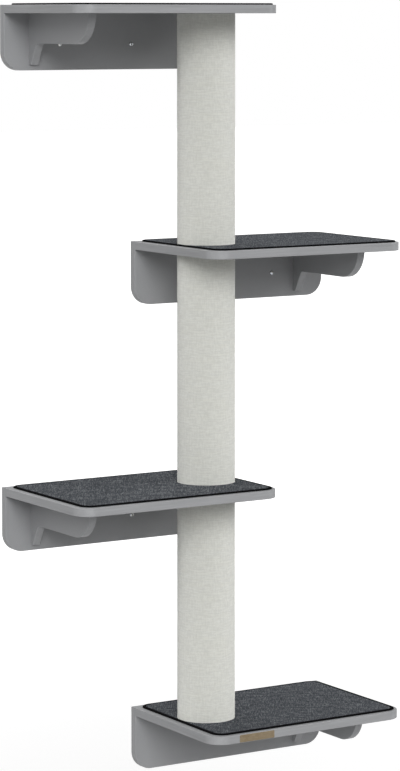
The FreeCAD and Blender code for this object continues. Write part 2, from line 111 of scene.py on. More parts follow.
def angle_property(label, text, degrees):
    """An angle that the sidebar shows, given in degrees."""
    return FloatProperty(name=label, description=text, default=math.radians(degrees), unit="ROTATION")


def light_property(label, text, strength):
    """A light's strength that the sidebar shows."""
    return FloatProperty(name=label, description=text, default=strength, min=0)


class BoardFinish(bpy.types.PropertyGroup):
    """Paint of the shelves, wall plates and side brackets."""

    colour: colour_property("Paint", "Matt grey of the boards", (161, 162, 164))
    # Lighter paint on the rounded corner arcs and eased edges: painted highlight, in patches like wear.
    highlight_wear_colour: colour_property("Worn edge", "Rubbed paint on the rounded edges", (174, 175, 177))
    streaks: share_property("Edge streaks", "Strength of the lines along the boards' narrow edges", 0.8)
    peel: length_property("Paint texture", "Height of the fine rolled texture", 0.00006)


class MatFelt(bpy.types.PropertyGroup):
    """Needle felt of the four mats."""

    colour: colour_property("Felt", "Dark slate of the felt's ground", (78, 81, 86))
    # Dark felt colour, laid where the felt lies low: painted shade together with the heather's own
    # darker tone.
    shadow_colour: colour_property("Deep felt", "Felt down between the fibres", (51, 54, 59))
    fleck_colour: colour_property("Pale fibres", "Paler fibres in the mix", (131, 134, 137))
    yarn: length_property("Slub width", "Width of the heathered slubs that cross in the felt", 0.0021)
    bias: angle_property("Felt direction", "Turn of the felt's slubs on the shelf", -31.799)
    grid: length_property("Felt grid", "Distance between the points that shape the felt's top", 0.0035)
    unevenness: length_property("Unevenness", "Rise and fall of the felt's top", 0.00022)
    rim_press: length_property("Edge press", "How far the binding squeezes the felt's rim", 0.0009)


class MatBinding(bpy.types.PropertyGroup):
    """Overlocked yarn round the edge of each mat."""

    colour: colour_property("Yarn", "Near-black binding yarn", (10, 10, 12))
    width: length_property("Width", "How far the binding reaches in over the mat", 0.0076)
    stitch: length_property("Stitch", "Distance from one turn of the yarn to the next", 0.0019)
    relief: length_property("Relief", "Height of a turn of yarn over the gap beside it", 0.00028)


class PostWeave(bpy.types.PropertyGroup):
    """Woven sisal cloth on the posts."""

    colour: colour_property("Sisal", "Off-white of the sisal", (231, 232, 228))
    gap_colour: colour_property("Weave gaps", "Shade between the yarns", (206, 205, 195))
    ribs: IntProperty(name="Ribs", description="Weft yarns up one post", default=250, min=20, max=400)
    relief: length_property("Rib relief", "Depth of the valley between two ribs", 0.00028)
    facets: IntProperty(name="Facets", description="Facets round a post", default=96, min=24, max=256)
    seam: length_property("Seam", "Slit where the cloth's two ends meet at the back", 0.0007)


class MetalFinish(bpy.types.PropertyGroup):
    """Zinc of the fasteners and bronze of the edge plate."""

    zinc: colour_property("Zinc", "Bright zinc on screws, bolts and washer", (196, 198, 200))
    bronze: colour_property("Bronze", "Brushed dark bronze of the bare edge plate", (134, 121, 100))
    roughness: share_property("Zinc roughness", "How dull the zinc is", 0.34)


class WallScrew(bpy.types.PropertyGroup):
    """Pan-head screws that hold the wall plates to the wall."""

    head: length_property("Head", "Width of the domed head", 0.0092)
    rise: length_property("Rise", "How far the head stands off the plate", 0.0028)
    shank: length_property("Shank", "Width of the shank in the plate's hole", 0.0046)
    slot_length: length_property("Recess length", "Length of the cross recess, end to end", 0.0046)
    slot_width: length_property("Recess width", "Width of an arm of the cross recess", 0.0011)


class HiddenStock(bpy.types.PropertyGroup):
    """Wood and board inside the posts and joints."""

    wood: colour_property("Plain wood", "Unfinished wood of discs and dowels", (205, 176, 134))
    tube: colour_property("Tube board", "Brown wound board of the post tubes", (168, 137, 100))


class StudioSetup(bpy.types.PropertyGroup):
    """Camera, floor and light."""

    lens: FloatProperty(
        name="Lens", description="Focal length for a 36 mm long side", default=139.12, min=10,
        unit="CAMERA",
    )
    shift: FloatProperty(name="Shift", description="Upright shift that frames the tree", default=-0.25)
    place: FloatVectorProperty(
        name="Camera place", description="Where the camera stands", default=(-3.4163, -5.6232, 1.6167),
        unit="LENGTH",
    )
    pitch: angle_property("Pitch", "Camera tilt", -3.409)
    yaw: angle_property("Yaw", "Camera turn", 31.972)
    floor_drop: length_property("Floor drop", "Depth of the floor below the lowest wall screws", 0.42)
    sky: light_property("Sky light", "Soft light from above and all round", 0.315)
    ground: light_property("Low light", "Soft light from below", 0.1)
    key: light_property("Main lamp", "Strength of the soft light in front", 1.63)
    left: light_property("Left lamp", "Strength of the soft light on the left", 0.15)
    right: light_property("Right lamp", "Strength of the soft light in front on the right", 0.39)
    back: light_property("Back lamp", "Strength of the soft light behind the tree", 0.55)
    softness: angle_property("Softness", "Angle that each light spreads over", 31)


def build(tree, kind, inputs=None, **settings):
    """A shader node with its settings, and its sockets set or linked."""
    made = tree.nodes.new(kind)
    for name, value in settings.items():
        setattr(made, name, value)
    for name, value in (inputs or {}).items():
        socket = made.inputs[name]
        if isinstance(value, bpy.types.NodeSocket):
            tree.links.new(value, socket)
        elif isinstance(value, (tuple, list)) and socket.type == "RGBA":
            socket.default_value = (*value[:3], 1)
        else:
            socket.default_value = value
    return made


def calc(tree, operation, a, b=0.0, c=0.0):
    """One Math node's value."""
    return build(tree, "ShaderNodeMath", {0: a, 1: b, 2: c}, operation=operation).outputs[0]


def ramp(tree, value, low, high, out_low=0.0, out_high=1.0):
    """A value moved smoothly from one range to another."""
    return build(
        tree,
        "ShaderNodeMapRange",
        {"Value": value, "From Min": low, "From Max": high, "To Min": out_low, "To Max": out_high},
        interpolation_type="SMOOTHSTEP",
    ).outputs["Result"]


def blend(tree, share, first, second):
    """A mix of two colours."""
    made = build(tree, "ShaderNodeMix", data_type="RGBA")
    for socket, value in ((made.inputs[0], share), (made.inputs[6], first), (made.inputs[7], second)):
        if isinstance(value, bpy.types.NodeSocket):
            tree.links.new(value, socket)
        else:
            socket.default_value = (*value[:3], 1) if socket.type == "RGBA" else value
    return made.outputs[2]


def tinted(colour, factor):
    """A colour made darker or paler by a factor."""
    return [min(1, c * factor) for c in colour]


def over(tree, colour, mask, strength, other):
    """A colour with another laid over it where a mask is, up to a strength."""
    return blend(tree, calc(tree, "MULTIPLY", mask, strength), colour, other)


def grains(tree, place, stretch, detail=2.0, rough=0.5, turn=(0, 0, 0)):
    """Noise with its own frequency, per metre, along each axis, turned on its surface."""
    moved = build(
        tree, "ShaderNodeMapping",
        {"Vector": place, "Rotation": turn, "Scale": [1 / each for each in stretch]},
        vector_type="TEXTURE",
    )
    made = build(
        tree,
        "ShaderNodeTexNoise",
        {"Vector": moved.outputs[0], "Scale": 1.0, "Detail": detail, "Roughness": rough},
    )
    return made.outputs["Fac"]


def relief(tree, height, distance, strength=1.0, under=None):
    """A bump of a real height, in metres, on top of another one."""
    inputs = {"Height": height, "Distance": distance, "Strength": strength}
    if under is not None:
        inputs["Normal"] = under
    return build(tree, "ShaderNodeBump", inputs).outputs[0]


def start_material(name):
    """An empty material with its surface shader."""
    made = bpy.data.materials.new(name)
    made.use_nodes = True
    tree = made.node_tree
    tree.nodes.clear()
    shader = build(tree, "ShaderNodeBsdfPrincipled")
    build(tree, "ShaderNodeOutputMaterial", {"Surface": shader.outputs[0]})
    return made, tree, shader


def connect(tree, shader, **inputs):
    """Values and links on the surface shader's own sockets."""
    for name, value in inputs.items():
        socket = shader.inputs[name.replace("_", " ")]
        if isinstance(value, bpy.types.NodeSocket):
            tree.links.new(value, socket)
        elif socket.type == "RGBA":
            socket.default_value = (*value[:3], 1)
        else:
            socket.default_value = value


def dress(names, material):
    """Gives CAD nodes a finished material in their own slots."""
    for name in names:
        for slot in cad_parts[name].material_slots:
            slot.material = material


def painted_board(name, flat_axis, finish):
    """Matt paint on board whose wide faces look along one axis."""
    made, tree, shader = start_material(name)
    where = build(tree, "ShaderNodeTexCoord")
    place = where.outputs["Object"]
    facing = [
        calc(tree, "ABSOLUTE", side)
        for side in build(tree, "ShaderNodeSeparateXYZ", {0: where.outputs["Normal"]}).outputs
    ]
    flat = facing.pop(flat_axis)
    narrow = ramp(tree, flat, 0.25, 0.05)
    corner = calc(tree, "MULTIPLY", narrow, ramp(tree, calc(tree, "MINIMUM", *facing), 0.02, 0.3))
    eased = calc(tree, "MULTIPLY", ramp(tree, flat, 0.06, 0.35), ramp(tree, flat, 0.995, 0.85))
    lengthwise = [7.0, 7.0, 7.0]
    lengthwise[flat_axis] = 240.0
    lines = grains(tree, place, lengthwise, 4.0, 0.65)
    cloud = grains(tree, place, (9, 9, 9), 3.0)
    speckle = grains(tree, place, (420, 420, 420), 2.0, 0.7)
    peel = grains(tree, place, (1100, 1100, 1100), 2.0, 0.6)
    highlight_wear_patches = grains(tree, place, (60, 60, 60), 4.0, 0.7)
    base = finish.colour
    colour = blend(tree, ramp(tree, cloud, 0.3, 0.7, 0.35, 0.65), tinted(base, 0.9), tinted(base, 1.08))
    colour = over(tree, colour, ramp(tree, speckle, 0.45, 0.75), 0.12, tinted(base, 0.7))
    streak = calc(tree, "MULTIPLY", narrow, finish.streaks)
    colour = over(tree, colour, streak, ramp(tree, lines, 0.5, 0.75), tinted(base, 0.82))
    colour = over(tree, colour, streak, ramp(tree, lines, 0.5, 0.25), tinted(base, 1.16))
    # Painted highlight and wear: the corner arcs and eased edges are painted lighter, in patches.
    highlight_and_wear_edges = calc(tree, "MAXIMUM", corner, eased)
    highlight_and_wear = calc(tree, "MULTIPLY", highlight_and_wear_edges, ramp(tree, highlight_wear_patches, 0.35, 0.7, 0.25, 0.9))
    colour = blend(tree, highlight_and_wear, colour, tuple(finish.highlight_wear_colour))
    rough = ramp(tree, cloud, 0.3, 0.7, 0.5, 0.6)
    rough = calc(tree, "SUBTRACT", rough, calc(tree, "MULTIPLY", highlight_and_wear, 0.1))
    fine = relief(tree, peel, finish.peel, 0.8)
    normal = relief(tree, lines, finish.peel * 1.5, narrow, fine)
    connect(tree, shader, Base_Color=colour, Roughness=rough, Normal=normal, Specular_IOR_Level=0.4)
    return made


def felt_cloth(name, finish):
    """Heathered felt: pale and dark slubs that cross, with tangled fibres on top, and painted shade
    where the felt lies low.
    """
    made, tree, shader = start_material(name)
    place = build(tree, "ShaderNodeTexCoord").outputs["Object"]
    fine = 1 / finish.yarn
    bias = (0, 0, finish.bias)
    flecks = grains(tree, place, (fine, fine * 0.24, fine), 2.0, 0.6, bias)
    warp = grains(tree, place, (fine * 1.1, fine * 0.07, fine), 1.0, 0.5, bias)
    weft = grains(tree, place, (fine * 0.1, fine * 0.2, fine), 2.0, 0.6, bias)
    slubs = calc(tree, "MULTIPLY_ADD", flecks, 0.45, calc(tree, "MULTIPLY", warp, 0.3))
    slubs = calc(tree, "MULTIPLY_ADD", weft, 0.25, slubs)
    fibres = None
    for turn, across in ((0.2, 1500.0), (1.15, 1250.0), (2.0, 1650.0), (2.75, 1350.0)):
        layer = grains(tree, place, (180.0, across, 600.0), 1.0, 0.4, (0, 0, turn))
        hair = ramp(tree, layer, 0.56, 0.72)
        fibres = hair if fibres is None else calc(tree, "MAXIMUM", fibres, hair)
    tufts = grains(tree, place, (420, 420, 420), 3.0, 0.65)
    # The dark colour goes where the slubs lie low in the bump: painted shade between the slubs, mixed
    # with the heather's darker tone.
    colour = blend(tree, ramp(tree, slubs, 0.42, 0.5), tuple(finish.shadow_colour), tuple(finish.colour))
    colour = blend(tree, ramp(tree, slubs, 0.5, 0.6), colour, tuple(finish.fleck_colour))
    colour = over(tree, colour, fibres, 0.3, tinted(finish.colour, 1.6))
    # Painted shade: the lowest pits of the felt's bump are darkened further.
    colour = over(tree, colour, ramp(tree, tufts, 0.52, 0.36), 0.35, tinted(finish.shadow_colour, 0.6))
    height = calc(tree, "MULTIPLY_ADD", slubs, 0.7, calc(tree, "MULTIPLY_ADD", fibres, 0.4, tufts))
    normal = relief(tree, height, 0.0005, 0.85)
    connect(
        tree, shader, Base_Color=colour, Roughness=0.97, Normal=normal, Specular_IOR_Level=0.05,
        Sheen_Weight=0.05, Sheen_Roughness=0.6, Sheen_Tint=(0.8, 0.85, 0.9),
    )
    return made


def binding_yarn(name, finish):
    """Near-black spun yarn with short loose fibres; the raised fibres are painted paler, as painted
    highlight.
    """
    made, tree, shader = start_material(name)
    place = build(tree, "ShaderNodeTexCoord").outputs["Object"]
    spun = grains(tree, place, (3200, 3200, 3200), 2.0, 0.6)
    tone = grains(tree, place, (240, 240, 240), 2.0, 0.6)
    base = finish.colour
    colour = blend(tree, ramp(tree, tone, 0.35, 0.7), tinted(base, 0.7), tinted(base, 1.35))
    # Painted highlight: the raised spun fibres are painted paler than the yarn.
    colour = over(tree, colour, ramp(tree, spun, 0.55, 0.75), 0.4, tinted(base, 2.4))
    normal = relief(tree, spun, 0.00018, 0.8)
    connect(
        tree, shader, Base_Color=colour, Roughness=0.95, Normal=normal, Specular_IOR_Level=0.0,
        Sheen_Weight=0.02, Sheen_Roughness=0.6,
    )
    return made


def hump(tree, value):
    """0 at both ends of a value's run from 0 to 1, and 1 in the middle."""
    centred = calc(tree, "MULTIPLY_ADD", value, 2.0, -1.0)
    return calc(tree, "SUBTRACT", 1.0, calc(tree, "MULTIPLY", centred, centred))


def sisal_cloth(name, finish, height):
    """Woven sisal on its own map: metres round the post and metres up it."""
    made, tree, shader = start_material(name)
    flat = build(tree, "ShaderNodeUVMap", uv_map="cloth").outputs[0]
    axes = build(tree, "ShaderNodeSeparateXYZ", {0: flat})
    pitch = height / finish.ribs
    rows = calc(tree, "DIVIDE", axes.outputs[1], pitch)
    row = calc(tree, "FLOOR", rows)
    within = calc(tree, "FRACT", rows)
    shift = calc(tree, "MULTIPLY", calc(tree, "MODULO", row, 2.0), 0.5)
    floats = calc(tree, "ADD", calc(tree, "DIVIDE", axes.outputs[0], WEFT_FLOAT), shift)
    along = calc(tree, "FRACT", floats)
    rib, loop = hump(tree, within), hump(tree, along)
    each = build(
        tree, "ShaderNodeCombineXYZ", {0: calc(tree, "FLOOR", floats), 1: row, 2: 0.0}
    ).outputs[0]
    chance = build(tree, "ShaderNodeTexWhiteNoise", {"Vector": each}, noise_dimensions="3D").outputs[0]
    yarn_chance = build(tree, "ShaderNodeTexWhiteNoise", {"W": row}, noise_dimensions="1D").outputs[0]
    fibres = grains(tree, flat, (230, 3600, 1), 2.0, 0.6)
    stains = grains(tree, flat, (16, 26, 1), 3.0, 0.6)
    slubs = grains(tree, flat, (70, 420, 1), 2.0, 0.5)
    base, gap = finish.colour, finish.gap_colour
    woven = calc(tree, "MULTIPLY", rib, calc(tree, "MULTIPLY_ADD", loop, 0.55, 0.45))
    weft = grains(tree, flat, (45, 300, 1), 2.0, 0.6)
    warp = grains(tree, flat, (280, 60, 1), 2.0, 0.6)
    uneven = calc(tree, "MULTIPLY_ADD", weft, 0.55, calc(tree, "MULTIPLY", warp, 0.45))
    yarn = blend(tree, ramp(tree, uneven, 0.38, 0.62), tinted(base, 0.92), tinted(base, 1.055))
    # Painted shade: the gap colour darkens the valleys between the ribs and between the loops, and the
    # crests take the yarn colour.
    colour = blend(tree, ramp(tree, woven, 0.0, 0.5, 0.25, 1.0), tuple(gap), yarn)
    yellower = (base[0], base[1] * 0.97, base[2] * 0.88)
    stained = (base[0] * 0.93, base[1] * 0.92, base[2] * 0.84)
    colour = over(tree, colour, chance, 0.14, tuple(gap))
    colour = over(tree, colour, yarn_chance, 0.1, yellower)
    colour = over(tree, colour, ramp(tree, fibres, 0.52, 0.75), 0.4, tuple(gap))
    colour = over(tree, colour, ramp(tree, slubs, 0.62, 0.8), 0.3, tinted(gap, 0.8))
    colour = over(tree, colour, ramp(tree, stains, 0.5, 0.75), 0.14, stained)
    loops = relief(tree, woven, 0.0002, 0.9)
    normal = relief(tree, fibres, 0.00006, 0.8, loops)
    connect(
        tree, shader, Base_Color=colour, Roughness=0.88, Normal=normal, Specular_IOR_Level=0.25,
        Sheen_Weight=0.5, Sheen_Roughness=0.4, Sheen_Tint=(0.95, 0.95, 0.9),
        Diffuse_Roughness=1.0,
    )
    return made


def zinc_plating(name, finish):
    """Bright zinc with fine scratches and a faint blue-yellow cloud."""
    made, tree, shader = start_material(name)
    place = build(tree, "ShaderNodeTexCoord").outputs["Object"]
    cloud = grains(tree, place, (180, 180, 180), 2.0)
    marks = grains(tree, place, (2400, 300, 2400), 2.0, 0.7)
    base = finish.zinc
    bluish = (base[0] * 0.88, base[1] * 0.92, base[2])
    yellowish = (base[0], base[1] * 0.97, base[2] * 0.86)
    colour = blend(tree, ramp(tree, cloud, 0.3, 0.7), bluish, yellowish)
    rough = ramp(tree, marks, 0.3, 0.75, finish.roughness - 0.06, finish.roughness + 0.14)
    normal = relief(tree, marks, 0.00004, 0.7)
    connect(tree, shader, Base_Color=colour, Metallic=1.0, Roughness=rough, Normal=normal)
    return made


def brushed_bronze(name, finish):
    """Dark bronze brushed lengthwise, browner where it has aged."""
    made, tree, shader = start_material(name)
    place = build(tree, "ShaderNodeTexCoord").outputs["Object"]
    brushed = grains(tree, place, (26, 900, 2600), 3.0, 0.7)
    aged = grains(tree, place, (55, 55, 55), 3.0, 0.6)
    base = finish.bronze
    browner = (base[0] * 0.62, base[1] * 0.55, base[2] * 0.45)
    colour = blend(tree, ramp(tree, brushed, 0.3, 0.7), tinted(base, 0.74), tinted(base, 1.22))
    colour = over(tree, colour, ramp(tree, aged, 0.45, 0.75), 0.5, browner)
    rough = ramp(tree, aged, 0.3, 0.75, 0.34, 0.5)
    normal = relief(tree, brushed, 0.00005, 0.8)
    connect(tree, shader, Base_Color=colour, Metallic=1.0, Roughness=rough, Normal=normal)
    return made


def plain_wood(name, stock):
    """Unfinished turned wood with rings and pores."""
    made, tree, shader = start_material(name)
    place = build(tree, "ShaderNodeTexCoord").outputs["Object"]
    rings = grains(tree, place, (30, 420, 420), 4.0, 0.6)
    pores = grains(tree, place, (160, 1800, 1800), 2.0, 0.6)
    base = stock.wood
    colour = blend(tree, ramp(tree, rings, 0.3, 0.7), tinted(base, 0.7), tuple(base))
    colour = over(tree, colour, ramp(tree, pores, 0.6, 0.75), 0.5, tinted(base, 0.45))
    normal = relief(tree, pores, 0.0001, 0.8)
    connect(tree, shader, Base_Color=colour, Roughness=0.75, Normal=normal)
    return made


def wound_board(name, stock):
    """Brown board wound in a spiral, with fibres and a faint lap line."""
    made, tree, shader = start_material(name)
    place = build(tree, "ShaderNodeTexCoord").outputs["Object"]
    fibres = grains(tree, place, (900, 900, 350), 3.0, 0.7)
    laps = grains(tree, place, (4, 4, 55), 1.0, 0.4)
    base = stock.tube
    colour = blend(tree, ramp(tree, fibres, 0.35, 0.7), tinted(base, 0.78), tuple(base))
    colour = over(tree, colour, ramp(tree, laps, 0.5, 0.6), 0.25, tinted(base, 0.6))
    normal = relief(tree, fibres, 0.0001, 0.7)
    connect(tree, shader, Base_Color=colour, Roughness=0.85, Normal=normal)
    return made


def place_piece(mesh, name, material, replaced, sharp=None):
    """Turns a finished bmesh into a piece that rides with the tree."""
    data = bpy.data.meshes.new(name)
    mesh.to_mesh(data)
    mesh.free()
    data.shade_smooth()
    if sharp is not None:
        data.set_sharp_from_angle(angle=sharp)
    piece = bpy.data.objects.new(name, data)
    bpy.context.scene.collection.objects.link(piece)
    data.materials.append(material)
    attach(piece, "root")
    if replaced:
        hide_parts(*replaced)
    return piece


def block(low, high):
    """Closed box between two corners."""
    mesh = bmesh.new()
    bmesh.ops.create_cube(mesh, size=1.0)
    bmesh.ops.scale(mesh, vec=high - low, verts=mesh.verts)
    bmesh.ops.translate(mesh, vec=(high + low) / 2, verts=mesh.verts)
    return mesh


def edges_along(mesh, axis):
    """Edges of a box that run along one axis."""
    return [e for e in mesh.edges if abs(e.verts[0].co[axis] - e.verts[1].co[axis]) > SAME_PLACE]


def round_over(mesh, edges, radius, steps):
    """Rounds some edges of a mesh."""
    bmesh.ops.bevel(
        mesh, geom=edges, offset=radius, offset_type="OFFSET", affect="EDGES",
        segments=steps, profile=0.5, material=-1,
    )


def take_out(mesh, cutter):
    """What is left of one closed mesh after another is cut from it."""
    pair = []
    for part in (mesh, cutter):
        data = bpy.data.meshes.new("cutting")
        part.to_mesh(data)
        part.free()
        piece = bpy.data.objects.new("cutting", data)
        bpy.context.scene.collection.objects.link(piece)
        pair.append(piece)
    cut = pair[0].modifiers.new("cut", "BOOLEAN")
    cut.operation, cut.solver, cut.object = "DIFFERENCE", "EXACT", pair[1]
    whole = pair[0].evaluated_get(bpy.context.evaluated_depsgraph_get())
    left = bmesh.new()
    left.from_mesh(whole.to_mesh())
    whole.to_mesh_clear()
    for piece in pair:
        data = piece.data
        bpy.data.objects.remove(piece)
        bpy.data.meshes.remove(data)
    return left


def inside_by(point, low, high, corner):
    """Distance of a point from a rounded rectangle's edge, positive inside."""
    middle, half = (low + high) / 2, (high - low) / 2
    x = abs(point.x - middle.x) - half.x + corner
    y = abs(point.y - middle.y) - half.y + corner
    return corner - math.hypot(max(x, 0), max(y, 0)) - min(max(x, y), 0)


def felt_lumps(point):
    """Unevenness of felt at a point, from small and fine lumps and broad swells."""
    small = noise.noise(point * 95) * 0.6
    fine = noise.noise(point * 230 + Vector((3, 5, 7))) * 0.5
    return small + fine + noise.noise(point * 14) * 0.8


def felt_mat(shelf, felt, material):
    """One mat of felt, cut out round the post that stands on it, with its flat size and area."""
    node = f"mat_{shelf}"
    low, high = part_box(node)
    mesh = block(low, high)
    round_over(mesh, edges_along(mesh, 2), MAT_CORNER, 10)
    if shelf in POSTS:
        hole = bmesh.new()
        bmesh.ops.create_cone(
            hole, cap_ends=True, segments=96, radius1=MAT_HOLE, radius2=MAT_HOLE, depth=0.05
        )
        bmesh.ops.translate(hole, vec=(*POST_AXIS, (low.z + high.z) / 2), verts=hole.verts)
        mesh = take_out(mesh, hole)
    bmesh.ops.remove_doubles(mesh, verts=mesh.verts, dist=SAME_PLACE)
    rim = [
        e for e in mesh.edges
        if len(e.link_faces) == 2 and all(abs(v.co.z - high.z) < SAME_PLACE for v in e.verts)
        and e.calc_face_angle(0) > 1
    ]
    round_over(mesh, rim, MAT_RIM, 3)
    top = [
        f for f in mesh.faces
        if f.normal.z > 0.999 and abs(f.calc_center_median().z - high.z) < SAME_PLACE
    ]
    geometry = list({*top, *(e for f in top for e in f.edges), *(v for f in top for v in f.verts)})
    step = felt.grid * 1
    for axis in (0, 1):
        count = round((high[axis] - low[axis]) / step)
        for i in range(1, count):
            at = Vector((0, 0, 0))
            facing = Vector((0, 0, 0))
            at[axis] = low[axis] + (high[axis] - low[axis]) * i / count
            facing[axis] = 1
            geometry = bmesh.ops.bisect_plane(
                mesh, geom=geometry, dist=SAME_PLACE, plane_co=at, plane_no=facing
            )["geom"]
    skin, pressed = 0.0009, 0.008
    swell_place, swell_width, swell_share = 0.009, 0.004, 0.3
    for v in mesh.verts:
        if v.co.z < high.z - skin:
            continue
        edge = inside_by(v.co, low, high, MAT_CORNER)
        near = max(0.0, 1 - edge / pressed)
        swell = math.exp(-(((edge - swell_place) / swell_width) ** 2)) * swell_share
        v.co.z += felt.unevenness * (felt_lumps(v.co) + swell) - felt.rim_press * near * near
    bmesh.ops.recalc_face_normals(mesh, faces=mesh.faces)
    piece = place_piece(mesh, f"felt_mat_{shelf}", material, [node], math.radians(55))
    width, depth = high.x - low.x, high.y - low.y
    area = width * depth - (4 - math.pi) * MAT_CORNER ** 2
    if shelf in POSTS:
        area -= math.pi * MAT_HOLE ** 2
    return piece, (width, depth), area


def round_the_mat(far, corners, bend):
    """Middle line of a binding at a distance along it: a corner or side point, and the way out."""
    outward = (Vector((-1, 0, 0)), Vector((0, 1, 0)), Vector((1, 0, 0)), Vector((0, -1, 0)))
    quarter = bend * math.pi / 2
    for k in range(4):
        side = (corners[k] - corners[k - 1]).length
        if far <= side:
            return corners[k - 1].lerp(corners[k], far / side), outward[k]
        far -= side
        if far <= quarter or k == 3:
            turn = min(far, quarter) / bend
            return corners[k], outward[k] * math.cos(turn) + outward[(k + 1) % 4] * math.sin(turn)
        far -= quarter


def bound_edge(shelf, binding, material):
    """Overlocked binding: yarn turns round the felt's rim, made straight and then laid round the mat."""
    node = f"mat_edging_{shelf}"
    low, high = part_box(node)
    band, tall = binding.width, high.z - low.z
    bend = EDGING_CORNER - band / 2
    left, right = low.x + EDGING_CORNER, high.x - EDGING_CORNER
    front, back = low.y + EDGING_CORNER, high.y - EDGING_CORNER
    corners = [Vector((*at, 0)) for at in ((left, back), (right, back), (right, front), (left, front))]
    length = sum((corners[k] - corners[k - 1]).length for k in range(4)) + 2 * math.pi * bend
    turns = round(length / binding.stitch)
    steps = turns * 4
    mesh = bmesh.new()
    ring = bmesh.ops.create_circle(mesh, segments=len(BINDING_SECTION), radius=1.0)["verts"]
    for v, (across, share) in zip(ring, BINDING_SECTION):
        v.co = (0, across * band, share * tall)
    long = bmesh.ops.extrude_edge_only(mesh, edges=mesh.edges[:])["geom"]
    far_end = [v for v in long if isinstance(v, bmesh.types.BMVert)]
    bmesh.ops.translate(mesh, vec=(length, 0, 0), verts=far_end)
    lengthwise = [e for e in mesh.edges if abs(e.verts[0].co.x - e.verts[1].co.x) > length / 2]
    bmesh.ops.subdivide_edges(mesh, edges=lengthwise, cuts=steps - 1, use_grid_fill=True)
    core = Vector((0.45 * band, 0.45 * tall))
    slant, inner_part, reach, sway = 1.2, 0.7 * band, 0.0005, 0.00012
    for v in mesh.verts:
        along, across, up = v.co
        phase = math.pi * along * turns / length
        ridge = abs(math.cos(phase + slant * across / band)) ** 0.8
        ridge *= 1 + 0.25 * noise.noise(Vector((along * 420, shelf * 9.1, 0)))
        away = Vector((across, up)) - core
        away *= 1 - binding.relief * (1 - ridge) / away.length
        across, up = core + away
        if across > inner_part:
            across += reach * ridge
        place, outward = round_the_mat(along, corners, bend)
        wander = sway * noise.noise(Vector((along * 60, shelf * 3.3, 5)))
        v.co = place + outward * (EDGING_CORNER - across + wander) + Vector((0, 0, low.z + max(0.0, up)))
    bmesh.ops.remove_doubles(mesh, verts=mesh.verts, dist=2 * SAME_PLACE)
    bmesh.ops.recalc_face_normals(mesh, faces=mesh.faces)
    return place_piece(mesh, f"bound_edge_{shelf}", material, [node])


def sisal_post(post, weave, material):
    """Sisal cloth stretched round one post: weft ribs, turned ends and a butt seam at the back."""
    node = f"sisal_sleeve_{post}"
    low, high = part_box(node)
    outer, tall = (high.x - low.x) / 2, high.z - low.z
    inside = TUBE_FACE + 0.001
    turned_end, tuck = 0.0016, 0.0008
    inset, uneven, sway, plain_end = 0.0001, 0.00008, 0.0003, 0.003
    mesh = bmesh.new()
    outline = ((outer, 0), (outer, tall), (TUBE_FACE, tall), (TUBE_FACE, 0))
    section = [mesh.verts.new((x, 0, z)) for x, z in outline]
    sides = [mesh.edges.new((section[i], section[(i + 1) % 4])) for i in range(4)]
    levels = weave.ribs * 3
    bmesh.ops.subdivide_edges(mesh, edges=[sides[0]], cuts=levels - 1)
    for v in mesh.verts:
        if v.co.x > inside:
            rib = v.co.z / tall * weave.ribs
            valley = 1 - abs(math.sin(math.pi * rib)) ** 0.8
            end = min(v.co.z, tall - v.co.z)
            v.co.x -= weave.relief * valley + tuck * max(0.0, 1 - end / turned_end) ** 2
    slit = weave.seam / outer
    bmesh.ops.spin(
        mesh, geom=mesh.verts[:] + mesh.edges[:], cent=(0, 0, 0), axis=(0, 0, 1), dvec=(0, 0, 0),
        angle=2 * math.pi - slit, steps=weave.facets // 1, use_merge=False,
    )
    bmesh.ops.holes_fill(mesh, edges=[e for e in mesh.edges if e.is_boundary], sides=0)
    cloth = mesh.loops.layers.uv.new("cloth")
    nudge = 1e-4
    for face in mesh.faces:
        for loop in face.loops:
            x, y, z = loop.vert.co
            round_by = (math.atan2(y, x) + nudge) % (2 * math.pi)
            loop[cloth].uv = (round_by * outer, z)
    bmesh.ops.rotate(mesh, verts=mesh.verts, matrix=Matrix.Rotation(math.pi / 2 + slit / 2, 3, "Z"))
    for v in mesh.verts:
        away = Vector((v.co.x, v.co.y, 0))
        if away.length > inside:
            wave = noise.noise(Vector((v.co.x * 40, v.co.y * 40, v.co.z * 9 + post)))
            pull = noise.noise(Vector((v.co.x * 160, v.co.y * 160, v.co.z * 110 + post)))
            v.co += away.normalized() * (uneven * pull - inset)
            if plain_end < v.co.z < tall - plain_end:
                v.co.z += sway * wave
    bmesh.ops.translate(mesh, vec=(*POST_AXIS, low.z), verts=mesh.verts)
    bmesh.ops.recalc_face_normals(mesh, faces=mesh.faces)
    piece = place_piece(mesh, f"sisal_cloth_{post}", material, [node], math.radians(70))
    return piece, (2 * math.pi * outer, tall)


